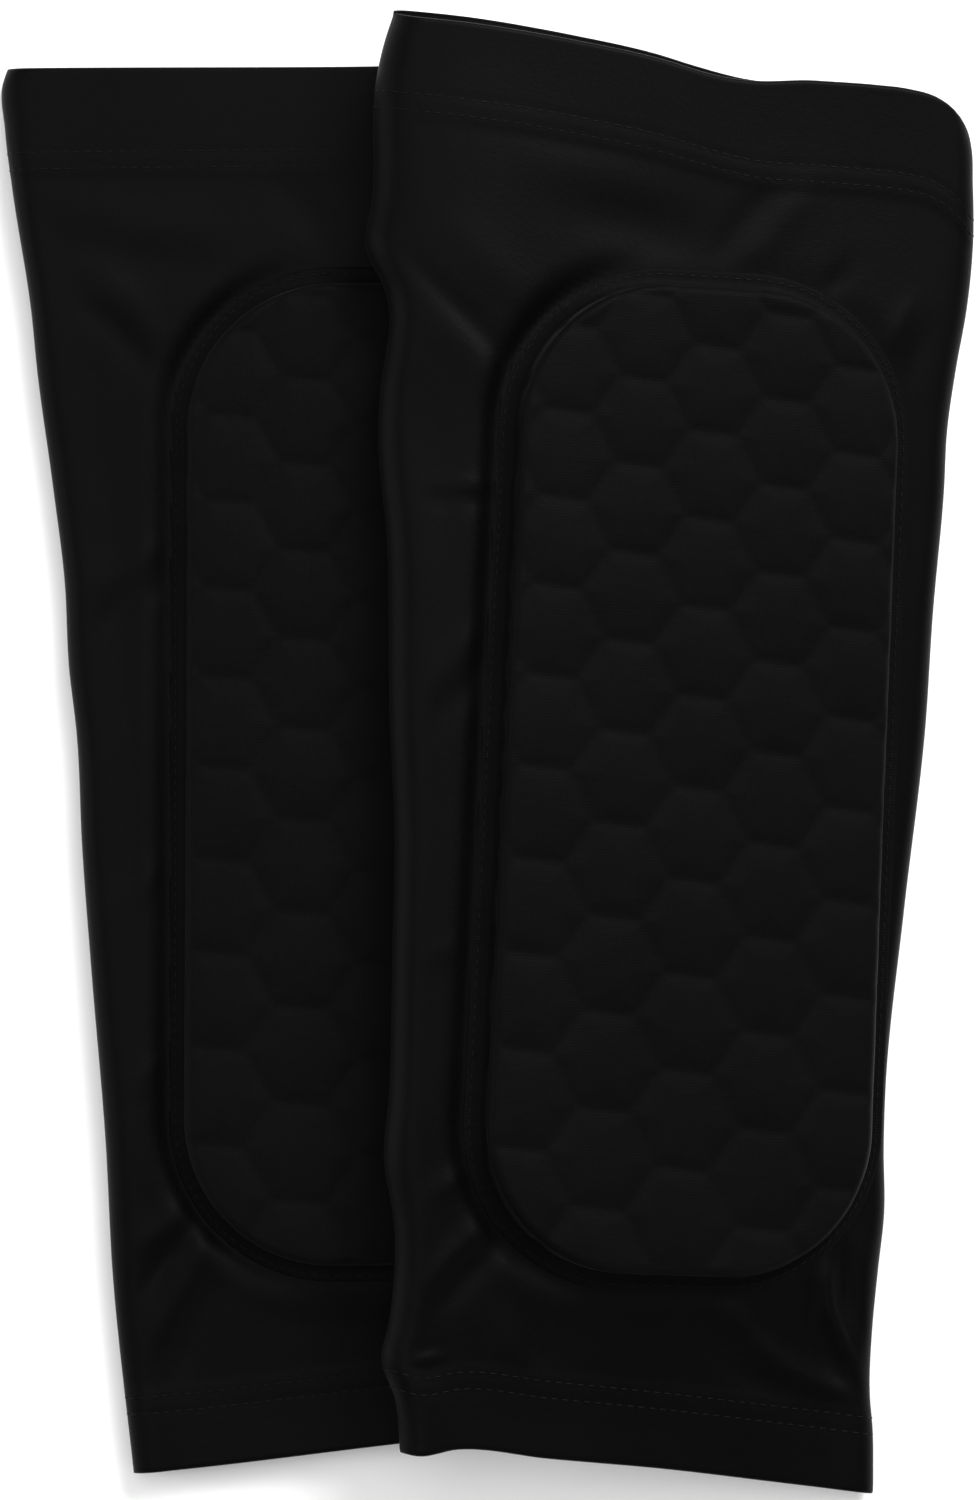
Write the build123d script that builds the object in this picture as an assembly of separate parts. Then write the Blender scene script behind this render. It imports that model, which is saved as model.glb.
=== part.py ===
"""A pair of padded shin guards: two stretch-knit leg sleeves, each with a honeycomb foam pad on its front.

The pair lies on a table, pads up. The left guard lies flat. The right guard lies over the edge of the left
guard's pad, so it leans: its right knee corner rests on the table and its left side is held up by that pad.

Each guard is built flat in its own frame, with the middle of its pad above the origin, +X to the right, +Y
towards the knee and +Z out of the pad, and is then laid in place. Units are millimetres and degrees.
"""
from build123d import *
from math import asin, atan2, cos, degrees, hypot, radians, sin, sqrt, tan
import os

# Knit sleeve: a tube of cloth that lies flat, with some air in it.
KNIT = 0.6
TUBE_HEIGHT = 9.6
FOLD_RADIUS = 4.6
KNEE_ABOVE_PAD = 45.0
ANKLE_BELOW_PAD = 38.4
KNEE_WIDTH = 122.0              # the four widths are of the tube as it lies, from fold to fold
UPPER_WIDTH = 118.5
MIDDLE_WIDTH = 107.0
ANKLE_WIDTH = 98.5
UPPER_BELOW_PAD_TOP = 25.0      # where the upper width is measured
MIDDLE_BELOW_PAD_CENTRE = 20.0  # where the middle width is measured

# Hems: the knit turned in at both ends and held by two rows of stitches.
KNEE_HEM = 21.5
ANKLE_HEM = 16.3
HEM_CLOTH = 0.5                 # the turned-in layer, drawn a little thinner
HEM_LIP = 1.0                   # the turn of the cloth at the knee edge, which closes the hem
ELASTIC = 0.4
ELASTIC_FROM_STITCH = 1.0
ROW_SPACING = 3.3               # between the two rows of a hem
ROW_FROM_HEM_EDGE = 0.4
THREAD = 0.8                    # width of a row of stitches
THREAD_DEPTH = 0.25             # how far a row sinks into the cloth

# Seam that closes the tube: inside it, on the layer that lies on the table.
SEAM_WIDTH = 6.0
SEAM_THICKNESS = 0.6
SEAM_END_GAP = 1.0              # from the seam's ends to the hems

# Pad: foam with raised hexagons, between a cover and a backing.
PAD_LENGTH = 199.5
PAD_TOP_WIDTH = 78.0
PAD_BOTTOM_WIDTH = 81.5
PAD_CORNER = 30.0
BACKING = 0.4
COVER = 0.5
FOAM = 5.4                      # full height of the foam
GROOVE_DEPTH = 1.4
GROOVE_WIDTH = 1.8              # between the cloth of two cells
CELL_PITCH = 18.7               # across the flats, groove included
CELL_PHASE = 7.3                # from the pad's centre up to the nearest cell centre of the middle column
CELL_ROUNDING = 0.8             # of the top edges of the cells
ROW_SKEW = 5.0                  # how far the rows of cells run down to the right
FLANGE = 3.6                    # the cover's edge, which is sewn to the sleeve
PAD_ROW_FROM_PAD = 1.9

# How each tube rolled as it was laid down: how far the tube's middle lies from the pad's middle at the four
# widths, and how steeply its two ends run across it.
LEFT_LAY = {
    "knee": -17.5,
    "upper": -10.7,
    "middle": -8.5,
    "ankle": -3.6,
    "knee_slope": 0.012,
    "ankle_slope": 0.112,
}
RIGHT_LAY = {
    "knee": -5.6,
    "upper": -6.4,
    "middle": -5.6,
    "ankle": -3.5,
    "knee_slope": -0.135,
    "ankle_slope": -0.08,
}

# Where the two guards lie. The distances are between the pads' centres before the right guard leans over.
LEFT_TURN = 0.4
RIGHT_TURN = -2.8
GUARDS_APART_X = 59.8
GUARDS_APART_Y = -1.4
GUARD_GAP = 0.3                 # between the right guard and the pad that holds it up

HALF_PAD = PAD_LENGTH / 2
KNEE_Y = HALF_PAD + KNEE_ABOVE_PAD
ANKLE_Y = -HALF_PAD - ANKLE_BELOW_PAD
UPPER_Y = HALF_PAD - UPPER_BELOW_PAD_TOP
MIDDLE_Y = -MIDDLE_BELOW_PAD_CENTRE
PAD_HEIGHT = BACKING + FOAM + COVER
RUN_OUT = 20.0                  # how far cutting shapes run past the cloth


def fold_points(lay, side, inset):
    """Points of a side fold, side -1 or 1, from ankle to knee, run on straight at both ends."""
    stations = [
        (lay["ankle"], ANKLE_WIDTH, ANKLE_Y),
        (lay["middle"], MIDDLE_WIDTH, MIDDLE_Y),
        (lay["upper"], UPPER_WIDTH, UPPER_Y),
        (lay["knee"], KNEE_WIDTH, KNEE_Y),
    ]
    points = [(middle + side * (width / 2 - inset), y) for middle, width, y in stations]
    (x0, y0), (x1, y1), (x2, y2), (x3, y3) = points
    below = (x0 - (x1 - x0) / (y1 - y0) * RUN_OUT, y0 - RUN_OUT)
    above = (x3 + (x3 - x2) / (y3 - y2) * RUN_OUT, y3 + RUN_OUT)
    return [below, *points, above]


def tube_core(lay, inset):
    """All inside the tube's surface, inset from the outside of the cloth. It is longer than the tube."""
    left = Spline(*fold_points(lay, -1, inset))
    right = Spline(*fold_points(lay, 1, inset))
    outline = make_face([left, Line(left @ 1, right @ 1), right, Line(right @ 0, left @ 0)])
    core = extrude(Plane.XY.offset(inset) * outline, TUBE_HEIGHT - 2 * inset)
    return fillet(core.edges().filter_by(GeomType.BSPLINE), FOLD_RADIUS - inset)


def tube_wall(lay, inset, thickness):
    """One layer of cloth all round the tube. It is longer than the tube."""
    return tube_core(lay, inset) - tube_core(lay, inset + thickness)


def line_across(lay, end, depth):
    """The two ends of a line right across the tube, at that depth inside its knee or ankle edge."""
    y, slope, inwards = {
        "knee": (KNEE_Y, lay["knee_slope"], -1),
        "ankle": (ANKLE_Y, lay["ankle_slope"], 1),
    }[end]
    return [(x, y + slope * x + inwards * depth) for x in (-KNEE_WIDTH, KNEE_WIDTH)]


def space_between(near, far):
    """The space between two lines across the tube, taller than the tube."""
    outline = make_face(Polyline(*near, *far[::-1], close=True))
    return extrude(Plane.XY.offset(-RUN_OUT) * outline, TUBE_HEIGHT + 2 * RUN_OUT)


def hem_band(lay, end, start, stop):
    """The space between two depths inside the tube's knee or ankle edge."""
    return space_between(line_across(lay, end, start), line_across(lay, end, stop))


def hem_rows(lay, end, hem):
    """The two rows of stitches that hold a hem, sunk into the knit."""
    skin = tube_wall(lay, 0, THREAD_DEPTH)
    last = hem - ROW_FROM_HEM_EDGE - THREAD
    return [skin & hem_band(lay, end, start, start + THREAD) for start in (last - ROW_SPACING, last)]


def knee_hem(lay):
    """The turned-in knit at the knee edge, with the lip that closes it over the elastic."""
    layer = tube_wall(lay, KNIT + ELASTIC, HEM_CLOTH) & hem_band(lay, "knee", 0, KNEE_HEM)
    lip = tube_wall(lay, KNIT, ELASTIC) & hem_band(lay, "knee", 0, HEM_LIP)
    return layer + lip


def knee_elastic(lay):
    """The elastic tape inside the knee hem, from the lip to just short of the stitches."""
    first_row = KNEE_HEM - ROW_FROM_HEM_EDGE - THREAD - ROW_SPACING
    return tube_wall(lay, KNIT, ELASTIC) & hem_band(lay, "knee", HEM_LIP, first_row - ELASTIC_FROM_STITCH)


def ankle_hem(lay):
    """The turned-in knit at the ankle edge."""
    return tube_wall(lay, KNIT, HEM_CLOTH) & hem_band(lay, "ankle", 0, ANKLE_HEM)


def sleeve(lay, rows):
    """The knit tube, with the grooves that its stitches pull into it."""
    whole = space_between(line_across(lay, "knee", 0), line_across(lay, "ankle", 0))
    tube = tube_wall(lay, 0, KNIT) & whole
    for row in rows:
        tube = tube - row
    return tube


def back_seam(lay):
    """The flat seam that closes the tube, from hem to hem."""
    from_hem = SEAM_END_GAP + SEAM_WIDTH / 2
    top = (lay["knee"], KNEE_Y + lay["knee_slope"] * lay["knee"] - KNEE_HEM - from_hem)
    low = (lay["ankle"], ANKLE_Y + lay["ankle_slope"] * lay["ankle"] + ANKLE_HEM + from_hem)
    length = hypot(top[0] - low[0], top[1] - low[1])
    lean = degrees(atan2(low[0] - top[0], top[1] - low[1]))
    middle = Location(((top[0] + low[0]) / 2, (top[1] + low[1]) / 2, KNIT), (0, 0, lean))
    return extrude(middle * Rectangle(SEAM_WIDTH, length), SEAM_THICKNESS)


def pad_outline(grow=0):
    """The pad's outline, a little wider at the ankle, grown outwards."""
    left, right = -1, 1
    top = [(side * PAD_TOP_WIDTH / 2, HALF_PAD) for side in (right, left)]
    bottom = [(side * PAD_BOTTOM_WIDTH / 2, -HALF_PAD) for side in (left, right)]
    blank = make_face(Polyline(*top, *bottom, close=True))
    outline = fillet(blank.vertices(), PAD_CORNER)
    return offset(outline, grow) if grow else outline


def raised_cell(gap, bottom, rounding):
    """One raised hexagon in the middle of the pad, with its top edges rounded."""
    side = (CELL_PITCH - gap) / sqrt(3)
    corners = [(side * cos(radians(60 * k)), side * sin(radians(60 * k))) for k in range(6)]
    skewed = [(x, y - x * tan(radians(ROW_SKEW))) for x, y in corners]
    cell = extrude(Plane.XY.offset(bottom) * make_face(Polyline(*skewed, close=True)), GROOVE_DEPTH)
    return fillet(cell.edges().group_by(Axis.Z)[-1], rounding)


def cell_centres():
    """The centres of the hexagons that could lie on the pad."""
    column_pitch = CELL_PITCH * sqrt(3) / 2
    columns = int(PAD_BOTTOM_WIDTH / 2 / column_pitch) + 1
    rows = int(HALF_PAD / CELL_PITCH) + 2
    centres = []
    for column in range(-columns, columns + 1):
        x = column * column_pitch
        phase = CELL_PHASE + CELL_PITCH / 2 * (column % 2) - x * tan(radians(ROW_SKEW))
        centres += [(x, phase + row * CELL_PITCH) for row in range(-rows, rows + 1)]
    return centres


def pad_slab(grow, bottom, top):
    """A slab with the pad's grown outline, and the hexagons raised on it and cut to that outline."""
    groove_floor = top - GROOVE_DEPTH
    outline = pad_outline(grow)
    slab = extrude(Plane.XY.offset(bottom) * outline, groove_floor - bottom)
    room = extrude(Plane.XY.offset(groove_floor) * outline, GROOVE_DEPTH)
    cell = raised_cell(GROOVE_WIDTH - 2 * grow, groove_floor, CELL_ROUNDING + grow)
    cut = [Pos(x, y) * cell & room for x, y in cell_centres()]
    least = GROOVE_DEPTH * GROOVE_WIDTH * CELL_PITCH / 2
    return slab + [solid for shape in cut if shape for solid in shape.solids() if solid.volume > least]


def pad_stitches():
    """The row of stitches that holds the cover's edge down."""
    row = pad_outline(PAD_ROW_FROM_PAD + THREAD) - pad_outline(PAD_ROW_FROM_PAD)
    return extrude(Plane.XY.offset(TUBE_HEIGHT + COVER - THREAD_DEPTH) * row, THREAD_DEPTH)


def pad_cover(foam, backing, stitches):
    """The face cloth, moulded over the foam, with the edge that is sewn to the sleeve."""
    outer = pad_slab(0, TUBE_HEIGHT, TUBE_HEIGHT + PAD_HEIGHT)
    flange = extrude(Plane.XY.offset(TUBE_HEIGHT) * pad_outline(FLANGE), COVER)
    return outer + flange - backing - foam - stitches


def make_pad():
    """Every piece of a pad, in the guard's own frame."""
    backing = extrude(Plane.XY.offset(TUBE_HEIGHT) * pad_outline(-COVER), BACKING)
    foam = pad_slab(-COVER, TUBE_HEIGHT + BACKING, TUBE_HEIGHT + BACKING + FOAM)
    stitches = pad_stitches()
    return {
        "pad_backing": [backing],
        "pad_foam": [foam],
        "pad_cover": [pad_cover(foam, backing, stitches)],
        "pad_stitching": [stitches],
    }


def make_tube(lay):
    """Every piece of a tube, in the guard's own frame."""
    knee_rows = hem_rows(lay, "knee", KNEE_HEM)
    ankle_rows = hem_rows(lay, "ankle", ANKLE_HEM)
    return {
        "sleeve": [sleeve(lay, knee_rows + ankle_rows)],
        "knee_hem": [knee_hem(lay)],
        "knee_elastic": [knee_elastic(lay)],
        "knee_stitching": knee_rows,
        "ankle_hem": [ankle_hem(lay)],
        "ankle_stitching": ankle_rows,
        "back_seam": [back_seam(lay)],
    }


def left_place():
    """The left guard lies flat on the table, its pad's centre above the origin."""
    return Rot(0, 0, LEFT_TURN)


def right_place():
    """The right guard is turned, then leaned over its right knee corner until it clears the left pad."""
    x = RIGHT_LAY["knee"] + KNEE_WIDTH / 2 - FOLD_RADIUS
    y = KNEE_Y + RIGHT_LAY["knee_slope"] * x
    turn = Rot(0, 0, RIGHT_TURN)
    corner_x = (turn * Pos(x, y, 0)).position.X
    pad_edge_x = (left_place() * pad_outline()).bounding_box().max.X
    reach = GUARDS_APART_X + corner_x - pad_edge_x
    rise = TUBE_HEIGHT + PAD_HEIGHT + GUARD_GAP - FOLD_RADIUS
    lean = atan2(rise, reach) + asin(FOLD_RADIUS / hypot(reach, rise))
    corner = Pos(GUARDS_APART_X + corner_x, GUARDS_APART_Y, FOLD_RADIUS)
    return corner * Rot(0, degrees(lean), 0) * Pos(-corner_x, 0, -FOLD_RADIUS) * turn


def main():
    """Make both guards, lay them down, and write each piece around the middle of the pair's footprint."""
    pad = make_pad()
    guards = [("left", LEFT_LAY, left_place()), ("right", RIGHT_LAY, right_place())]
    pieces = {}
    for side, lay, place in guards:
        for name, solids in {**make_tube(lay), **pad}.items():
            placed = [solid for shape in solids for solid in (place * shape).solids()]
            pieces[f"{side}_{name}"] = Compound(placed)
    pair = Compound(list(pieces.values())).bounding_box()
    centre = Pos(-pair.center().X, -pair.center().Y, 0)
    os.makedirs("parts", exist_ok=True)
    for name, piece in pieces.items():
        export_step(centre * piece, f"parts/{name}.step")


main()
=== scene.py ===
# A pair of padded shin guards, laid flat with the pads up, the right one leaning over the left one's pad.
from math import pi, radians

import bpy
import numpy as np
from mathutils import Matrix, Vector


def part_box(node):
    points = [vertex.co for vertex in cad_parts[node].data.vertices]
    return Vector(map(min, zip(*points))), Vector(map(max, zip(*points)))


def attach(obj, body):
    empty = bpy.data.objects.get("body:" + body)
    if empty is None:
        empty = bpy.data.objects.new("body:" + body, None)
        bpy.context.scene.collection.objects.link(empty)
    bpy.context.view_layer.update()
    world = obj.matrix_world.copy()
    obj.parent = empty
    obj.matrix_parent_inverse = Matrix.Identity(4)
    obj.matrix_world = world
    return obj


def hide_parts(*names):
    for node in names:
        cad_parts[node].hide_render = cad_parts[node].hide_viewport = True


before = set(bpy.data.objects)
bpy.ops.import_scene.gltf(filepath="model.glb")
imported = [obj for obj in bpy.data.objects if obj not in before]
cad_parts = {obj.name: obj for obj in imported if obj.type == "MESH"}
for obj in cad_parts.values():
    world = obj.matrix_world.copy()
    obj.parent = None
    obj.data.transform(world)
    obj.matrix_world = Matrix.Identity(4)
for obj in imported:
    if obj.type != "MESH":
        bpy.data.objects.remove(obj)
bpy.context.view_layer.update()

# ---- Sleeves -----------------------------------------------------------------------------------------
# A tube of smooth warp-knit stretch cloth, sewn up the back and laid flat, so both sides fold round softly.
# Its top layer creases where the stiff pad holds it back, and is drawn down along the pad's stitches.

# Each guard is shaped flat, in millimetres, with the middle of its pad at 0, 0, y towards the knee and z up.
# Then it is laid down: the left one is only turned, the right one leans from the table to the left pad.
MM = 0.001
KNIT = 0.6
KNEE_Y = 144.75
ANKLE_Y = -138.15
STATIONS_Y = np.array([ANKLE_Y, -20.0, 74.75, KNEE_Y])
STATION_WIDTHS = np.array([98.5, 107.0, 118.5, 122.0])
FOLD_RADIUS = 4.6
PAD_LENGTH = 199.5
PAD_TOP_WIDTH = 78.0
PAD_BOTTOM_WIDTH = 81.5
PAD_CORNER = 30.0
PAD_SEAT = 9.6                 # the sleeve's top layer, which the pad sits on
PAD_TOP = 15.9
GUARD_GAP = 0.3
RIGHT_FROM_LEFT = (59.8, -1.4)
KNEE_HEM = 21.5
ANKLE_HEM = 16.3
ROW_SPACING = 3.3
HEM_EXTRA = 0.22              # how much thicker the cloth is over a hem
AROUND = 196                   # vertices round the tube
ROUND_LENGTH = 0.2358          # the length round the tube, in metres
ROW_FROM_HEM_EDGE = 1.0        # from the hem's inner edge to its first row of stitches
CHANNEL_DEPTH = 0.06           # how far a row draws the cloth in
CHANNEL_HALF = 0.7
SPECULAR = 0.035               # this and the base colours are darker than real cloth, to suit the strong lights

# Where the middles of each guard lie, from ankle to knee, how its ends slope, and how its edges wander:
# pairs of a place along the edge and how far the edge lies outside the smooth line there.
GUARDS = {
    "left": {
        "turn": 0.4, "middles": [-3.6, -8.5, -10.7, -17.5],
        "knee_slope": 0.012, "ankle_slope": 0.112,
        "knee_edge": [(-73, 0.8), (-36, 0.3), (0, -0.2), (45, 0.0)],
        "ankle_edge": [(-60, -1.8), (-47, -1.3), (-5, -1.2), (50, -1.2)],
        "left_edge": [(-140, -0.5), (-101, 0.0), (-76, -0.8), (-40, -0.7), (-15, -0.8), (9, -1.6), (22, -1.2),
                      (40, -1.9), (59, -1.4), (83, -0.7), (95, -0.9), (120, -0.2), (132, -0.4), (142, -1.5),
                      (145, -3)],
        "right_edge": [(-140, 0.4), (-60, -0.5), (10, 0.6), (70, -0.4), (145, 0.0)],
    },
    "right": {
        "turn": -2.8, "middles": [-3.5, -5.6, -6.4, -5.6],
        "knee_slope": -0.135, "ankle_slope": -0.08,
        "knee_edge": [(-67, -0.8), (-49, 0.6), (-30, 1.2), (-11, 0.9), (-4, 0.2), (8, -0.3), (20, 1.3),
                      (33, 3.0), (39, 3.5), (46, 2.8), (50, 0.8), (54, -3.0)],
        "ankle_edge": [(-56, 3.0), (-51, 3.8), (-42, 1.6), (-23, 1.5), (2, 1.1), (28, 1.4), (50, 1.7)],
        "left_edge": [(-139, 0.3), (-127, 1.8), (-119, 4.8), (-112, 3.4), (-90, 2.5), (-80, 4.2), (-65, 2.9),
                      (-37, 1.4), (-15, 0.2), (11, 0.3), (44, -0.2), (68, 1.3), (74, 1.0), (96, 0.1),
                      (104, 4.2), (114, 3.2), (139, 3.5), (148, 2.1), (152, 1.1)],
        "right_edge": [(-141, 1.9), (-131, 1.5), (-123, 0.6), (-110, 0.4), (-98, 0.8), (-86, 1.3), (-73, 0.2),
                       (-61, -0.4), (-24, 0.2), (13, 0.9), (37, 0.0), (62, -0.3), (74, -0.9), (87, -0.3),
                       (99, 0.8), (111, 1.0), (124, -0.1), (136, -2.0), (141, -4.5)],
    },
}
low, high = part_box("left_pad_backing")
left_middle = (low + high) / 2 / MM
GUARDS["left"]["centre"] = (left_middle.x, left_middle.y)
GUARDS["right"]["centre"] = (left_middle.x + RIGHT_FROM_LEFT[0], left_middle.y + RIGHT_FROM_LEFT[1])
pad_edge_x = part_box("left_pad_foam")[1].x / MM + 0.5


def smooth_step(a, b, x):
    t = np.clip((x - a) / (b - a), 0, 1)
    return t * t * (3 - 2 * t)


def wander(pairs, x):
    """A smooth curve through pairs of place and value."""
    places, values = np.array(pairs, float).T
    slopes = np.gradient(values, places)
    x = np.clip(x, places[0], places[-1])
    i = np.clip(np.searchsorted(places, x) - 1, 0, len(places) - 2)
    gap = places[i + 1] - places[i]
    t = (x - places[i]) / gap
    start = (1 + 2 * t) * (1 - t) ** 2 * values[i] + t * (1 - t) ** 2 * gap * slopes[i]
    return start + t * t * (3 - 2 * t) * values[i + 1] + t * t * (t - 1) * gap * slopes[i + 1]


def folds(guard, y):
    """The x of a guard's left and right folds at y."""
    middle = np.polyval(np.polyfit(STATIONS_Y, guard["middles"], 3), y)
    width = np.polyval(np.polyfit(STATIONS_Y, STATION_WIDTHS, 3), y)
    left = middle - width / 2 - wander(guard["left_edge"], y)
    right = middle + width / 2 + wander(guard["right_edge"], y)
    return left, right


def knee_line(guard, x):
    return KNEE_Y + guard["knee_slope"] * x + wander(guard["knee_edge"], x)


def ankle_line(guard, x):
    return ANKLE_Y + guard["ankle_slope"] * x - wander(guard["ankle_edge"], x)


def lay_down(side, points):
    """Takes points from a guard's own frame to the table, in metres."""
    guard = GUARDS[side]
    turn = radians(guard["turn"])
    x, y, z = points[:, 0], points[:, 1], points[:, 2]
    flat_x = guard["centre"][0] + x * np.cos(turn) - y * np.sin(turn)
    flat_y = guard["centre"][1] + x * np.sin(turn) + y * np.cos(turn)
    if side == "left":
        return np.stack([flat_x, flat_y, z], 1) * MM
    middle = np.polyval(np.polyfit(STATIONS_Y, guard["middles"], 3), np.clip(y, ANKLE_Y, KNEE_Y))
    width = np.polyval(np.polyfit(STATIONS_Y, STATION_WIDTHS, 3), np.clip(y, ANKLE_Y, KNEE_Y))
    pivot_x = guard["centre"][0] + (middle + width / 2 - FOLD_RADIUS) * np.cos(turn) - y * np.sin(turn)
    reach = pivot_x - pad_edge_x
    rise = PAD_TOP + GUARD_GAP - FOLD_RADIUS
    lean = np.arctan2(rise, reach) + np.arcsin(FOLD_RADIUS / np.hypot(reach, rise))
    across, up = flat_x - pivot_x, z - FOLD_RADIUS
    world_x = pivot_x + across * np.cos(lean) + up * np.sin(lean)
    world_z = FOLD_RADIUS - across * np.sin(lean) + up * np.cos(lean)
    droop = np.clip(-44.0 - x, 0, None) ** 2 * 0.008
    return np.stack([world_x, flat_y, world_z - droop], 1) * MM


def read_points(mesh):
    points = np.empty(len(mesh.vertices) * 3)
    mesh.vertices.foreach_get("co", points)
    return points.reshape(-1, 3)


def write_points(mesh, points):
    mesh.vertices.foreach_set("co", np.ascontiguousarray(points, dtype=np.float32).ravel())
    mesh.update()


def pad_distance(x, y):
    """How far points lie outside the pad's outline; negative inside."""
    half = (PAD_BOTTOM_WIDTH + (PAD_TOP_WIDTH - PAD_BOTTOM_WIDTH) * (y / PAD_LENGTH + 0.5)) / 2
    qx = np.abs(x) - (half - PAD_CORNER)
    qy = np.abs(y) - (PAD_LENGTH / 2 - PAD_CORNER)
    beyond = np.hypot(np.clip(qx, 0, None), np.clip(qy, 0, None))
    return beyond + np.minimum(np.maximum(qx, qy), 0) - PAD_CORNER


# Creases: points along a ridge, its half width and its height, in millimetres in the guard's own frame.
CREASES = {
    "right": [
        ([(-64, 103), (-50, 91), (-38, 79)], 2.2, -1.0),
        ([(-61, 93), (-50, 84), (-42, 73)], 3.4, 0.6),
        ([(-60, 112), (-46, 102), (-34, 90)], 5.0, 0.6),
        ([(-46, 124), (-28, 122), (-8, 116)], 5.5, 0.45),
        ([(-32, 114), (-16, 112), (0, 108)], 6.0, -1.0),
        ([(3, 101), (12, 112), (23, 127)], 3.4, 0.55),
        ([(-1, 103), (6, 113), (14, 125)], 3.0, -0.6),
        ([(19, 95), (24, 100), (29, 107)], 2.0, -0.9),
        ([(42, 101), (39, 94), (36, 86)], 1.6, 0.8),
        ([(46, 96), (43, 88), (41, 78)], 2.2, -0.6),
        ([(-58, 57), (-48, 57.5), (-38, 58)], 1.2, 0.6),
        ([(-58, 53.5), (-48, 54), (-38, 55)], 1.6, -0.5),
        ([(-57, 13), (-50, 23), (-42, 32)], 2.8, 0.7),
        ([(-53, 8), (-47, 17), (-40, 26)], 2.4, -0.6),
        ([(-56, -40), (-50, -36), (-43, -35)], 2.4, 0.4),
        ([(-51, -86), (-45, -82), (-38, -77)], 2.0, 0.9),
        ([(-36, -88), (-43, -95), (-53, -106)], 2.4, 1.2),
        ([(-33, -92), (-41, -100), (-49, -110)], 2.6, -1.1),
        ([(-54, -119.5), (-50, -118.5), (-46, -117.5)], 1.1, 1.0),
        ([(-35, -105), (-31, -118), (-27, -130)], 3.0, 0.9),
        ([(-29, -104), (-26, -116), (-22, -126)], 3.4, -0.7),
        ([(10, -104), (24, -117), (35, -122), (46, -127)], 2.4, 1.4),
        ([(8, -109), (19, -121), (30, -127), (40, -131)], 3.0, -0.8),
        ([(33, -94), (35, -106), (39, -114), (45, -122)], 1.2, 2.6),
        ([(37, -92), (39, -103), (43, -111), (48, -118)], 1.3, -2.3),
        ([(30, -97), (31, -108), (35, -116), (41, -123)], 1.5, -1.6),
        ([(40, -90), (43, -100), (47, -108)], 1.2, 1.0),
    ],
    "left": [
        ([(-41, -87.5), (-47, -93), (-54, -99)], 2.4, 1.1),
        ([(-36, -92), (-42, -104), (-51, -121)], 2.4, 1.2),
        ([(-37, -90), (-44, -98), (-52, -108)], 2.0, -1.3),
        ([(-30, -97), (-36, -108), (-43, -124)], 2.8, -0.7),
        ([(-60, 104), (-50, 96), (-43, 86)], 3.6, 0.9),
        ([(-62, 98), (-53, 90), (-45, 80)], 2.6, -0.8),
        ([(-70, 118), (-50, 112), (-30, 110)], 5.0, 0.6),
        ([(-64, 110), (-48, 105), (-28, 103)], 4.5, -0.6),
        ([(-22, 124), (-14, 114), (-8, 104)], 4.0, -0.7),
        ([(-62, 36), (-52, 43), (-43, 48)], 2.8, 0.7),
        ([(-59, 29), (-50, 36), (-43, 41)], 2.4, -0.6),
        ([(-55, -30), (-49, -22), (-43, -16)], 2.6, 0.5),
        ([(-53, -66), (-48, -60), (-43, -57)], 2.2, 0.5),
    ],
}


def crease_height(creases, x, y):
    """The height that a guard's creases add at x, y."""
    total = np.zeros_like(x)
    for points, width, height in creases:
        path = np.array(points, float)
        nearest = np.full_like(x, 1e9)
        along = np.zeros_like(x)
        lengths = np.hypot(*np.diff(path, axis=0).T)
        start = 0.0
        for (ax, ay), (bx, by), length in zip(path[:-1], path[1:], lengths):
            t = np.clip(((x - ax) * (bx - ax) + (y - ay) * (by - ay)) / length**2, 0, 1)
            d = np.hypot(x - ax - t * (bx - ax), y - ay - t * (by - ay))
            closer = d < nearest
            nearest = np.where(closer, d, nearest)
            along = np.where(closer, start + t * length, along)
            start += length
        share = along / start
        fade = np.sin(pi * np.clip(share, 0.04, 0.96)) ** 0.7
        total += height * fade * np.exp(-(nearest / width) ** 2)
    return total


def ripple(x, y, seed):
    """A slow unevenness of laid cloth, about 1 either way."""
    turns = np.array([0.3, 1.9, 4.1, 2.6, 5.3]) + seed
    waves = [(0.055, 0.031), (-0.038, 0.067), (0.083, -0.022), (0.019, 0.092), (0.11, 0.06)]
    return sum(np.sin(a * x + b * y + t) for (a, b), t in zip(waves, turns)) / 2.6


def hem_depth(guard, x, y):
    """How far a point lies inside the knee edge and inside the ankle edge."""
    return knee_line(guard, x) - y, y - ankle_line(guard, x)


def top_layer(side, x, y):
    """The height of the top layer: level under the pad, drawn down beside it, lower towards the folds."""
    guard = GUARDS[side]
    left, right = folds(guard, y)
    outside = pad_distance(x, y)
    from_knee, from_ankle = hem_depth(guard, x, y)
    edge = np.minimum(x - left, right - x)
    towards_knee = smooth_step(60, 100, y)
    sag = (1.6 - 1.2 * towards_knee) * smooth_step(4, 34, outside)
    sag += 0.9 * (1 - 0.85 * towards_knee) * smooth_step(3, 14, outside) * smooth_step(3, 12, edge)
    beside = 0.06 + 0.94 * smooth_step(-12, -36, x)
    sag += 2.3 * beside * np.exp(-((outside - 3.6) / 3.0) ** 2) * smooth_step(-1, 6, edge)
    free = smooth_step(2.5, 8, outside) * smooth_step(1.5, 9, edge)
    rows = smooth_step(0, 5, from_knee - KNEE_HEM) * smooth_step(0, 5, from_ankle - ANKLE_HEM)
    creases = crease_height(CREASES[side], x, y) * (0.35 + 0.65 * rows)
    unevenness = 0.3 * ripple(x, y, 0.0 if side == "left" else 2.0)
    return PAD_SEAT - 0.02 - sag + free * (unevenness + 0.65 * creases)


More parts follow.
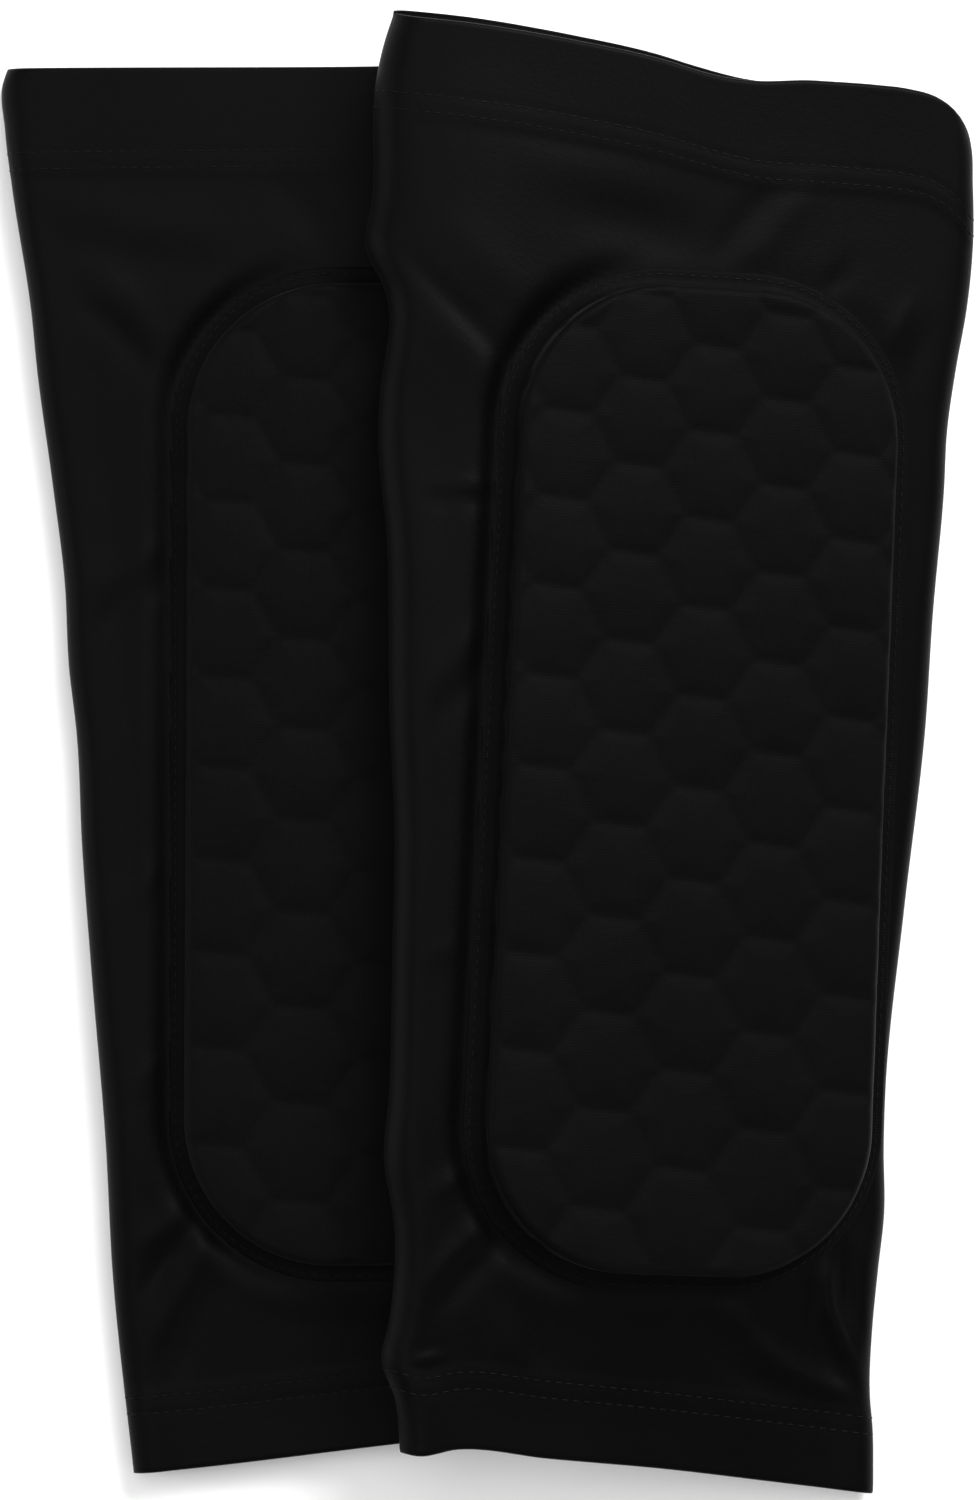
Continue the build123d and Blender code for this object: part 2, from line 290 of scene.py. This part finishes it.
def tube_points(side, u, v, inset):
    """The sleeve's surface: u goes once round the tube, v from the ankle edge to the knee edge."""
    guard = GUARDS[side]
    radius = FOLD_RADIUS - inset
    x, y = np.zeros_like(u), ANKLE_Y + v * (KNEE_Y - ANKLE_Y)
    for _ in range(3):
        left, right = folds(guard, y)
        straight = right - left - 2 * FOLD_RADIUS
        turn = 0.065
        flat = 0.5 - turn
        s = u % 1.0
        under = s < flat
        right_turn = (s >= flat) & (s < 0.5)
        over = (s >= 0.5) & (s < 0.5 + flat)
        left_turn = s >= 0.5 + flat
        angle_r = -pi / 2 + (s - flat) / turn * pi
        angle_l = pi / 2 + (s - 0.5 - flat) / turn * pi
        x = np.where(under, left + FOLD_RADIUS + s / flat * straight, x)
        x = np.where(right_turn, right - FOLD_RADIUS + radius * np.cos(angle_r), x)
        x = np.where(over, right - FOLD_RADIUS - (s - 0.5) / flat * straight, x)
        x = np.where(left_turn, left + FOLD_RADIUS + radius * np.cos(angle_l), x)
        knee, ankle = knee_line(guard, x), ankle_line(guard, x)
        y = ankle + v * (knee - ankle)
    rise = np.where(under, 0.0, np.where(over, 1.0, 0.0))
    rise = np.where(right_turn, (np.sin(angle_r) + 1) / 2, rise)
    rise = np.where(left_turn, (np.sin(angle_l) + 1) / 2, rise)
    from_knee, from_ankle = hem_depth(guard, x, y)
    z_top = top_layer(side, x, y)
    z = inset + (z_top - 2 * inset) * rise
    # The cloth is thicker in the hems, and drawn in along their stitches.
    for depth, hem in ((from_knee, KNEE_HEM), (from_ankle, ANKLE_HEM)):
        swell = HEM_EXTRA * smooth_step(hem + 2.0, hem - 1.0, depth)
        first_row = hem - ROW_FROM_HEM_EDGE
        for row in (first_row, first_row - ROW_SPACING):
            swell = swell - CHANNEL_DEPTH * np.exp(-((depth - row) / CHANNEL_HALF) ** 2)
        z = z + np.where(over | right_turn | left_turn, swell * rise, 0)
    # The top layer's knee edge is drawn back a little from the bottom layer's.
    back = 2.0 if side == "right" else 0.3
    y = y - back * rise * smooth_step(18, 0, from_knee) * smooth_step(20, -5, x)
    # Both edges are turned in, so they are round.
    lip = 0.9
    for depth in (from_knee, from_ankle):
        near = np.clip(1 - depth / lip, 0, 1)
        drop = lip * 0.75 * (1 - np.sqrt(np.clip(1 - near**2, 0, 1)))
        z = z + np.where(rise > 0.5, -drop, drop) * (1 if inset == 0 else 0)
    return np.stack([x, y, z], 1)


def rows_along(side):
    """Where the rows of vertices lie along the tube, closer together at the hems."""
    length = KNEE_Y - ANKLE_Y
    fine = [0, 0.12, 0.3, 0.55, 0.85, 1.3, 2.0]
    hem = list(np.arange(3.0, 24.0, 0.75))
    start = fine + hem
    middle = list(np.arange(25.2, length - 24.2, 1.45))
    return np.array(start + middle + [length - d for d in reversed(start)]) / length


def cloth_ring(name, side, rows, inset, thickness):
    """A layer of cloth all round the tube: a grid rolled up, closed along the back, and thickened."""
    bpy.ops.object.select_all(action="DESELECT")
    bpy.ops.mesh.primitive_grid_add(x_subdivisions=AROUND, y_subdivisions=len(rows) - 1, size=2)
    ring = bpy.context.object
    ring.name = name
    sheet = read_points(ring.data)
    u = (sheet[:, 0] + 1) / 2
    v = rows[np.rint((sheet[:, 1] + 1) / 2 * (len(rows) - 1)).astype(int)]
    write_points(ring.data, lay_down(side, tube_points(side, u, v, inset)))
    layer = ring.data.uv_layers[0].data
    uv = np.empty(len(layer) * 2)
    layer.foreach_get("uv", uv)
    uv = uv.reshape(-1, 2)
    uv[:, 0] *= ROUND_LENGTH
    uv[:, 1] = rows[np.rint(uv[:, 1] * (len(rows) - 1)).astype(int)] * (KNEE_Y - ANKLE_Y) * MM
    layer.foreach_set("uv", uv.ravel())
    bpy.ops.object.mode_set(mode="EDIT")
    bpy.ops.mesh.select_all(action="SELECT")
    bpy.ops.mesh.remove_doubles(threshold=0.00001)
    bpy.ops.mesh.flip_normals()          # the rolled grid faces into the tube
    bpy.ops.object.mode_set(mode="OBJECT")
    bpy.ops.object.shade_smooth()
    wall = ring.modifiers.new("wall", "SOLIDIFY")
    wall.thickness = thickness * MM
    wall.offset = -1
    bpy.ops.object.modifier_apply(modifier="wall")
    return ring


def knit_cloth(name, colour, roughness, sheen, course, strength):
    """Warp-knit cloth: fine courses across the leg and wales along it, with faintly uneven yarn."""
    material = bpy.data.materials.new(name)
    material.use_nodes = True
    nodes, links = material.node_tree.nodes, material.node_tree.links
    shader = nodes["Principled BSDF"]
    shader.inputs["Roughness"].default_value = roughness
    shader.inputs["Sheen Weight"].default_value = sheen
    shader.inputs["Sheen Roughness"].default_value = 0.45
    shader.inputs["Specular IOR Level"].default_value = SPECULAR
    place = nodes.new("ShaderNodeUVMap")
    courses = nodes.new("ShaderNodeTexWave")
    courses.bands_direction = "Y"
    courses.inputs["Scale"].default_value = 1 / course * 0.3183
    courses.inputs["Distortion"].default_value = 0.6
    courses.inputs["Detail"].default_value = 1.0
    wales = nodes.new("ShaderNodeTexWave")
    wales.bands_direction = "X"
    wales.inputs["Scale"].default_value = 1 / course * 0.3183 * 1.3
    wales.inputs["Distortion"].default_value = 0.8
    both = nodes.new("ShaderNodeMath")
    both.operation = "MULTIPLY"
    yarn = nodes.new("ShaderNodeTexNoise")
    yarn.inputs["Scale"].default_value = 900
    yarn.inputs["Detail"].default_value = 3
    patch = nodes.new("ShaderNodeTexNoise")
    patch.inputs["Scale"].default_value = 45
    patch.inputs["Detail"].default_value = 4
    links.new(place.outputs["UV"], courses.inputs["Vector"])
    links.new(place.outputs["UV"], wales.inputs["Vector"])
    links.new(place.outputs["UV"], yarn.inputs["Vector"])
    links.new(place.outputs["UV"], patch.inputs["Vector"])
    links.new(courses.outputs["Fac"], both.inputs[0])
    links.new(wales.outputs["Fac"], both.inputs[1])
    height = nodes.new("ShaderNodeMix")
    height.data_type = "FLOAT"
    height.inputs["Factor"].default_value = 0.7
    links.new(both.outputs[0], height.inputs["A"])
    links.new(yarn.outputs["Fac"], height.inputs["B"])
    bump = nodes.new("ShaderNodeBump")
    bump.inputs["Strength"].default_value = strength
    bump.inputs["Distance"].default_value = 0.0002
    links.new(height.outputs["Result"], bump.inputs["Height"])
    links.new(bump.outputs["Normal"], shader.inputs["Normal"])
    tone = nodes.new("ShaderNodeValToRGB")
    tone.color_ramp.elements[0].position = 0.3
    tone.color_ramp.elements[0].color = (*[c * 0.55 for c in colour], 1)
    tone.color_ramp.elements[1].position = 0.75
    tone.color_ramp.elements[1].color = (*[c * 1.45 for c in colour], 1)
    blend = nodes.new("ShaderNodeMix")
    blend.data_type = "FLOAT"
    blend.inputs["Factor"].default_value = 0.5
    links.new(patch.outputs["Fac"], blend.inputs["A"])
    links.new(yarn.outputs["Fac"], blend.inputs["B"])
    links.new(blend.outputs["Result"], tone.inputs["Fac"])
    links.new(tone.outputs["Color"], shader.inputs["Base Color"])
    return material


sleeve_knit = knit_cloth("sleeve_knit", (0.00078, 0.00078, 0.00088), 0.45, 0.012, 0.0004, 0.3)

for side in GUARDS:
    tube = cloth_ring(f"{side}_knit_sleeve", side, rows_along(side), 0.0, KNIT)
    tube.data.materials.append(sleeve_knit)
    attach(tube, f"{side}_guard")
    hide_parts(f"{side}_sleeve")

# ---- Hems --------------------------------------------------------------------------------------------
# The sleeve's own cloth turned in at both ends, a layer of its own inside the tube. The knee hem has an elastic
# tape between its layers, which only its thickness shows.
HEM_CLOTH = 0.5
HEM_GAP = 0.12
ELASTIC = 0.4
hem_knit = knit_cloth("hem_knit", (0.00078, 0.00078, 0.00088), 0.5, 0.012, 0.0004, 0.3)
length = KNEE_Y - ANKLE_Y
for side in GUARDS:
    for end, hem, inset in (("knee", KNEE_HEM, KNIT + ELASTIC), ("ankle", ANKLE_HEM, KNIT + HEM_GAP)):
        depths = np.array([0.6, 0.9, 1.5, 2.4] + list(np.arange(3.6, hem, 1.4)) + [hem])
        rows = depths / length if end == "ankle" else 1 - depths[::-1] / length
        layer = cloth_ring(f"{side}_{end}_hem_cloth", side, rows, inset, HEM_CLOTH)
        layer.data.materials.append(hem_knit)
        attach(layer, f"{side}_guard")
        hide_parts(f"{side}_{end}_hem")
        if end == "knee":
            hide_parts(f"{side}_knee_elastic")

# ---- Back seams --------------------------------------------------------------------------------------
# A flat seam inside the tube, on the layer that lies underneath: a narrow raised strip of cloth and thread.
SEAM_WIDTH = 6.0
SEAM_END_GAP = 1.0             # from the seam's ends to the hems
for side in GUARDS:
    guard = GUARDS[side]
    bpy.ops.object.select_all(action="DESELECT")
    bpy.ops.mesh.primitive_grid_add(x_subdivisions=8, y_subdivisions=180, size=2)
    seam = bpy.context.object
    seam.name = f"{side}_seam_strip"
    sheet = read_points(seam.data)
    share = (sheet[:, 1] + 1) / 2
    ankle_middle, knee_middle = guard["middles"][0], guard["middles"][-1]
    x = ankle_middle + (knee_middle - ankle_middle) * share + sheet[:, 0] * SEAM_WIDTH / 2
    start = ankle_line(guard, x) + ANKLE_HEM + SEAM_END_GAP
    end = knee_line(guard, x) - KNEE_HEM - SEAM_END_GAP
    y = start + share * (end - start)
    z = KNIT + 0.12 + 0.42 * (1 - sheet[:, 0] ** 4) + 0.05 * np.sin(y * 2.6)
    write_points(seam.data, lay_down(side, np.column_stack([x, y, z])))
    bpy.ops.object.shade_smooth()
    strip = seam.modifiers.new("strip", "SOLIDIFY")
    strip.thickness = 0.00012
    strip.offset = -1
    bpy.ops.object.modifier_apply(modifier="strip")
    seam.data.materials.append(hem_knit)
    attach(seam, f"{side}_guard")
    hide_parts(f"{side}_back_seam")

# ---- Pads --------------------------------------------------------------------------------------------
# Closed-cell foam moulded with a honeycomb of raised pillows, covered with matte stretch cloth bonded over it.
# The cover's edge runs on past the foam as a thin flange, which is sewn to the sleeve.
PAD_ACROSS = 112
PAD_ALONG = 280
CELL_PITCH = 18.5
CELL_PHASE = 7.8
CELL_SPREAD = 0.00045         # how much the cells grow towards the ankle end
ROW_SKEW = 5.0
GROOVE_DEPTH = 0.26
GROOVE_HALF = 1.5
RIM_RADIUS = 1.7
FLANGE = 3.6
PAD_CROWN = 0.7


def outline_point(angle_from, angle_to, corner_a, corner_b, count):
    """Points along the pad's outline from the middle of one corner to the middle of the next."""
    first = np.array([(corner_a[0] + PAD_CORNER * np.cos(t), corner_a[1] + PAD_CORNER * np.sin(t))
                      for t in np.linspace(angle_from, (angle_from + angle_to) / 2, 40)])
    last = np.array([(corner_b[0] + PAD_CORNER * np.cos(t), corner_b[1] + PAD_CORNER * np.sin(t))
                     for t in np.linspace((angle_from + angle_to) / 2, angle_to, 40)])
    path = np.concatenate([first, last])
    run = np.concatenate([[0], np.cumsum(np.hypot(*np.diff(path, axis=0).T))])
    even = np.linspace(0, run[-1], count)
    return np.stack([np.interp(even, run, path[:, 0]), np.interp(even, run, path[:, 1])], 1)


def pad_sides(across, along):
    """The pad's outline as its bottom, top, left and right sides, which meet in the middles of its corners."""
    top_x = PAD_TOP_WIDTH / 2 - PAD_CORNER
    low_x = PAD_BOTTOM_WIDTH / 2 - PAD_CORNER
    end_y = PAD_LENGTH / 2 - PAD_CORNER
    right = outline_point(-pi / 4, pi / 4, (low_x, -end_y), (top_x, end_y), along)
    top = outline_point(pi / 4, 3 * pi / 4, (top_x, end_y), (-top_x, end_y), across)[::-1]
    left = outline_point(3 * pi / 4, 5 * pi / 4, (-top_x, end_y), (-low_x, -end_y), along)[::-1]
    bottom = outline_point(5 * pi / 4, 7 * pi / 4, (-low_x, -end_y), (low_x, -end_y), across)
    return bottom, top, left, right


def groove(x, y):
    """1 in the bottom of a groove between two cells, 0 on top of a cell."""
    x, y = x * (1 + 2 * CELL_SPREAD * y), y + CELL_SPREAD * y**2
    y = y + x * np.tan(radians(ROW_SKEW)) - CELL_PHASE
    column = CELL_PITCH * np.sqrt(3) / 2
    best = np.full_like(x, 1e9)
    cell_x, cell_y = np.zeros_like(x), np.zeros_like(x)
    near = np.rint(x / column)
    for step in (-1, 0, 1):
        c = near + step
        shift = 0.5 * (c % 2)
        r = np.rint(y / CELL_PITCH - shift)
        dx, dy = x - c * column, y - (r + shift) * CELL_PITCH
        d = np.hypot(dx, dy)
        closer = d < best
        best = np.where(closer, d, best)
        cell_x, cell_y = np.where(closer, dx, cell_x), np.where(closer, dy, cell_y)
    a = np.abs(cell_y)
    b = np.abs(cell_x) * np.sqrt(3) / 2 + np.abs(cell_y) / 2
    to_edge = CELL_PITCH / 2 - np.maximum(a, b)
    return to_edge, np.exp(-(np.clip(to_edge, 0, None) / GROOVE_HALF) ** 2)


def pad_top(x, y):
    """The height of the covered pad's top."""
    inside = -pad_distance(x, y)
    to_edge, dip = groove(x, y)
    pillow = 0.3 * (1 - np.clip(to_edge / (CELL_PITCH / 2), 0, 1)) ** 2
    crown = PAD_CROWN * (x / (PAD_BOTTOM_WIDTH / 2)) ** 2
    near = np.clip(1 - inside / RIM_RADIUS, 0, 1)
    rim = RIM_RADIUS * (1 - np.sqrt(np.clip(1 - near**2, 0, 1)))
    return PAD_TOP - crown - pillow - GROOVE_DEPTH * dip * smooth_step(0.4, 3.0, inside + 1.2) - rim


SWELL_CAP = 0.35
SWELL_SCALE = 0.01
SWELL_FRAMES = 16
swell_moves = []


def swell(pad, held):
    """Blows the cover up between the grooves that hold it: a short cloth run at ten times size, applied."""
    start = read_points(pad.data)
    if not swell_moves:
        write_points(pad.data, start * SWELL_SCALE)
        pins = pad.vertex_groups.new(name="held")
        pins.add(np.flatnonzero(held).tolist(), 1.0, "REPLACE")
        cloth = pad.modifiers.new("swell", "CLOTH")
        cloth.settings.quality = 5
        cloth.settings.mass = 0.3
        cloth.settings.tension_stiffness = 15
        cloth.settings.compression_stiffness = 15
        cloth.settings.shear_stiffness = 5
        cloth.settings.bending_stiffness = 0.5
        cloth.settings.use_pressure = True
        cloth.settings.uniform_pressure_force = 4
        cloth.settings.vertex_group_mass = "held"
        cloth.settings.effector_weights.gravity = 0
        cloth.point_cache.frame_start = 1
        cloth.point_cache.frame_end = SWELL_FRAMES
        for number in range(1, SWELL_FRAMES + 1):
            bpy.context.scene.frame_set(number)
        bpy.ops.object.modifier_apply(modifier="swell")
        bpy.context.scene.frame_set(1)
        moved = read_points(pad.data) / SWELL_SCALE - start
        pad.vertex_groups.clear()
        size = np.linalg.norm(moved, axis=1)
        capped = SWELL_CAP * (1 - np.exp(-size / SWELL_CAP))
        swell_moves.append(moved * (capped / np.maximum(size, 1e-9))[:, None])
    write_points(pad.data, start + swell_moves[0])


def pad_piece(side):
    """The covered pad: a grid fitted to the outline, with its edge drawn down and out into the flange."""
    bpy.ops.object.select_all(action="DESELECT")
    bpy.ops.mesh.primitive_grid_add(x_subdivisions=PAD_ACROSS, y_subdivisions=PAD_ALONG, size=2)
    pad = bpy.context.object
    pad.name = f"{side}_pad"
    flat = read_points(pad.data)
    i = np.rint((flat[:, 0] + 1) / 2 * PAD_ACROSS).astype(int)
    j = np.rint((flat[:, 1] + 1) / 2 * PAD_ALONG).astype(int)
    s, t = (i / PAD_ACROSS)[:, None], (j / PAD_ALONG)[:, None]
    bottom, top, left, right = pad_sides(PAD_ACROSS + 1, PAD_ALONG + 1)
    corners = ((1 - s) * (1 - t) * bottom[0] + s * (1 - t) * bottom[-1] + (1 - s) * t * top[0]
               + s * t * top[-1])
    xy = (1 - t) * bottom[i] + t * top[i] + (1 - s) * left[j] + s * right[j] - corners
    write_points(pad.data, np.column_stack([xy, pad_top(xy[:, 0], xy[:, 1])]))
    swell(pad, (groove(xy[:, 0], xy[:, 1])[1] > 0.6) | (pad_distance(xy[:, 0], xy[:, 1]) > -2.4))
    layer = pad.data.uv_layers[0].data
    corner_of = np.empty(len(pad.data.loops), int)
    pad.data.loops.foreach_get("vertex_index", corner_of)
    layer.foreach_set("uv", (xy[corner_of] * MM).ravel())
    # The wall and the flange: the boundary is extruded ring by ring.
    bpy.ops.object.mode_set(mode="EDIT")
    bpy.ops.mesh.select_all(action="SELECT")
    bpy.ops.mesh.region_to_loop()
    bpy.ops.object.mode_set(mode="OBJECT")
    rim_z = PAD_TOP - RIM_RADIUS
    # Each step is how far out, how high, and whether that height is counted from the sleeve beneath.
    steps = [(0.0, rim_z - 0.7, 0), (0.0, 12.4, 0), (0.05, 11.2, 0), (0.1, 10.0, 0), (0.2, 0.7, 1),
             (0.5, 0.3, 1), (1.0, 0.13, 1), (1.7, 0.1, 1), (2.4, 0.09, 1), (3.1, 0.08, 1), (FLANGE, 0.03, 1),
             (FLANGE, -0.15, 1), (2.4, -0.2, 1), (0.5, -0.2, 1), (-2.0, 9.3, 0)]
    for out, level, on_sleeve in steps:
        bpy.ops.object.mode_set(mode="EDIT")
        bpy.ops.mesh.extrude_region()
        bpy.ops.object.mode_set(mode="OBJECT")
        chosen = np.empty(len(pad.data.vertices), bool)
        pad.data.vertices.foreach_get("select", chosen)
        points = read_points(pad.data)
        ring = points[chosen]
        spot, normal = onto_outline(ring[:, :2])
        notch = groove(spot[:, 0], spot[:, 1])[1] * (0.3 if level > 10.5 else 0)
        points[chosen, :2] = spot + normal * (out - notch)[:, None]
        crown = PAD_CROWN * (spot[:, 0] / (PAD_BOTTOM_WIDTH / 2)) ** 2 * (1 if level > 11 else 0)
        base = top_layer(side, points[chosen, 0], points[chosen, 1]) if on_sleeve else -crown
        points[chosen, 2] = level + base
        write_points(pad.data, points)
    bpy.ops.object.mode_set(mode="EDIT")
    bpy.ops.mesh.edge_face_add()
    bpy.ops.mesh.select_all(action="SELECT")
    bpy.ops.mesh.normals_make_consistent(inside=False)
    bpy.ops.object.mode_set(mode="OBJECT")
    bpy.ops.object.shade_smooth()
    write_points(pad.data, lay_down(side, read_points(pad.data)))
    return pad


def onto_outline(xy):
    """The nearest points of the pad's outline and its outward directions there."""
    step = 0.01
    spot = xy.copy()
    for _ in range(3):
        d = pad_distance(spot[:, 0], spot[:, 1])
        x, y = spot[:, 0], spot[:, 1]
        gx = (pad_distance(x + step, y) - pad_distance(x - step, y)) / (2 * step)
        gy = (pad_distance(x, y + step) - pad_distance(x, y - step)) / (2 * step)
        normal = np.stack([gx, gy], 1) / np.hypot(gx, gy)[:, None]
        spot = spot - normal * d[:, None]
    return spot, normal


pad_cloth = knit_cloth("pad_cloth", (0.0011, 0.0011, 0.0012), 0.6, 0.014, 0.0006, 0.5)

for side in GUARDS:
    pad = pad_piece(side)
    pad.data.materials.append(pad_cloth)
    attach(pad, f"{side}_guard")
    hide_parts(f"{side}_pad_cover", f"{side}_pad_foam", f"{side}_pad_backing")

# ---- Stitches ----------------------------------------------------------------------------------------
# Black polyester thread: a lock stitch round each pad, through its edge and the sleeve, and two rows of
# coverstitch round each hem.
STITCH_PITCH = 2.3
STITCH_SHARE = 0.66            # of the pitch that the thread shows
PAD_ROW_FROM_PAD = 2.3         # from the foam's outline to the row that holds the cover's edge
PAD_ROW_LIFT = 0.08            # of that row's middle above the sleeve
PAD_THREAD_RADIUS = 0.16
HEM_THREAD_RADIUS = 0.14


def sew(name, path, radius):
    """A row of stitches along a path of points, in metres: one stitch, repeated, then bent along the path."""
    run = np.linalg.norm(np.diff(path, axis=0), axis=1).sum()
    count = int(run / MM / STITCH_PITCH)
    pitch = run / count
    bpy.ops.object.select_all(action="DESELECT")
    bpy.ops.curve.primitive_nurbs_path_add(location=(0, 0, 0))
    line = bpy.context.object
    line.data.splines.clear()
    spline = line.data.splines.new("POLY")
    spline.points.add(len(path) - 1)
    spline.points.foreach_set("co", np.column_stack([path, np.ones(len(path))]).ravel())
    bpy.ops.object.select_all(action="DESELECT")
    bpy.ops.mesh.primitive_cylinder_add(vertices=6, radius=radius * MM, depth=pitch * STITCH_SHARE,
                                        location=(pitch / 2, 0, 0), rotation=(0, pi / 2, 0))
    row = bpy.context.object
    row.name = name
    bpy.ops.object.transform_apply(location=True, rotation=True, scale=True)
    bpy.ops.object.mode_set(mode="EDIT")
    for share in (-0.3, -0.1, 0.1, 0.3):
        bpy.ops.mesh.select_all(action="SELECT")
        bpy.ops.mesh.bisect(plane_co=(pitch * (0.5 + share * STITCH_SHARE), 0, 0), plane_no=(1, 0, 0))
    bpy.ops.mesh.select_all(action="DESELECT")
    bpy.ops.object.mode_set(mode="OBJECT")
    ends = np.abs(read_points(row.data)[:, 0] / pitch - 0.5) > 0.49 * STITCH_SHARE
    row.data.vertices.foreach_set("select", ends)
    bpy.ops.object.mode_set(mode="EDIT")
    bpy.ops.transform.resize(value=(1, 0.45, 0.45))
    bpy.ops.mesh.select_all(action="SELECT")
    bpy.ops.mesh.normals_make_consistent(inside=False)
    bpy.ops.object.mode_set(mode="OBJECT")
    bpy.ops.object.shade_smooth()
    repeat = row.modifiers.new("repeat", "ARRAY")
    repeat.count = count
    repeat.use_relative_offset = False
    repeat.use_constant_offset = True
    repeat.constant_offset_displace = (pitch, 0, 0)
    bend = row.modifiers.new("bend", "CURVE")
    bend.object = line
    bend.deform_axis = "POS_X"
    bpy.ops.object.modifier_apply(modifier="repeat")
    bpy.ops.object.modifier_apply(modifier="bend")
    bpy.data.objects.remove(line)
    return row


thread = bpy.data.materials.new("thread")
thread.use_nodes = True
shader = thread.node_tree.nodes["Principled BSDF"]
shader.inputs["Roughness"].default_value = 0.45
shader.inputs["Specular IOR Level"].default_value = 0.07
twist = thread.node_tree.nodes.new("ShaderNodeTexNoise")
twist.inputs["Scale"].default_value = 2500
place = thread.node_tree.nodes.new("ShaderNodeTexCoord")
tone = thread.node_tree.nodes.new("ShaderNodeValToRGB")
tone.color_ramp.elements[0].color = (0.0012, 0.0012, 0.0012, 1)
tone.color_ramp.elements[1].color = (0.0032, 0.0032, 0.0034, 1)
thread.node_tree.links.new(place.outputs["Object"], twist.inputs["Vector"])
thread.node_tree.links.new(twist.outputs["Fac"], tone.inputs["Fac"])
thread.node_tree.links.new(tone.outputs["Color"], shader.inputs["Base Color"])

for side in GUARDS:
    bottom, top, left, right = pad_sides(200, 400)
    spot, normal = onto_outline(np.concatenate([bottom, right, top[::-1], left[::-1], bottom[:1]]))
    loop = spot + normal * PAD_ROW_FROM_PAD
    height = top_layer(side, loop[:, 0], loop[:, 1]) + PAD_ROW_LIFT
    path = lay_down(side, np.column_stack([loop, height]))
    row = sew(f"{side}_pad_stitches", path, PAD_THREAD_RADIUS)
    row.data.materials.append(thread)
    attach(row, f"{side}_guard")
    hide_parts(f"{side}_pad_stitching")
    for end, hem in (("knee", KNEE_HEM), ("ankle", ANKLE_HEM)):
        first_row = hem - ROW_FROM_HEM_EDGE
        for number, depth in enumerate((first_row, first_row - ROW_SPACING)):
            u = np.linspace(0, 1, 600)
            v = np.full_like(u, depth / length if end == "ankle" else 1 - depth / length)
            path = lay_down(side, tube_points(side, u, v, 0.0))
            row = sew(f"{side}_{end}_stitches_{number + 1}", path, HEM_THREAD_RADIUS)
            row.data.materials.append(thread)
            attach(row, f"{side}_guard")
            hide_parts(f"{side}_{end}_stitching")

# ---- Floor, light and camera -------------------------------------------------------------------------
bpy.ops.object.select_all(action="DESELECT")
FLOOR_Z = -0.0007              # just under the lowest cloth
bpy.ops.mesh.primitive_plane_add(size=6, location=(0, 0, FLOOR_Z))
floor = bpy.context.object
floor.name = "floor"
floor_paint = bpy.data.materials.new("floor_paint")
floor_paint.use_nodes = True
floor_shader = floor_paint.node_tree.nodes["Principled BSDF"]
floor_shader.inputs["Base Color"].default_value = (0.9, 0.9, 0.9, 1)
floor_shader.inputs["Roughness"].default_value = 0.9
floor.data.materials.append(floor_paint)

world = bpy.data.worlds.new("studio")
bpy.context.scene.world = world
world.use_nodes = True
world.node_tree.nodes["Background"].inputs["Color"].default_value = (1, 1, 1, 1)
world.node_tree.nodes["Background"].inputs["Strength"].default_value = 0.56


def softbox(name, place, aim, size, power):
    lamp = bpy.data.lights.new(name, "AREA")
    lamp.shape = "RECTANGLE"
    lamp.size, lamp.size_y = size
    lamp.energy = power
    holder = bpy.data.objects.new(name, lamp)
    bpy.context.scene.collection.objects.link(holder)
    holder.location = place
    holder.rotation_euler = (Vector(aim) - Vector(place)).to_track_quat("-Z", "Y").to_euler()


softbox("key", (0.85, 1.25, 1.3), (0, 0, 0), (1.1, 1.1), 58)
softbox("left", (-1.7, 0.1, 0.6), (0, 0, 0), (0.5, 1.4), 10)
softbox("top", (-0.3, 0.2, 2.2), (0, 0, 0), (1.6, 1.6), 18)

CAMERA_HEIGHT = 1.5
CAMERA_FROM_LEFT_PAD = (0.0217, 0.0049)
VIEW_LENGTH = 0.305            # how much of the table the picture's longer side takes in
PAIR_MIDDLE_HEIGHT = 0.012
SENSOR = 36
camera = bpy.data.cameras.new("camera")
holder = bpy.data.objects.new("camera", camera)
bpy.context.scene.collection.objects.link(holder)
holder.location = (left_middle.x * MM + CAMERA_FROM_LEFT_PAD[0], left_middle.y * MM + CAMERA_FROM_LEFT_PAD[1],
                   CAMERA_HEIGHT)
camera.sensor_width = SENSOR
camera.lens = SENSOR / 2 / (VIEW_LENGTH / 2 / (CAMERA_HEIGHT - PAIR_MIDDLE_HEIGHT))
camera.clip_end = 20
bpy.context.scene.camera = holder
bpy.context.scene.view_settings.view_transform = "Standard"
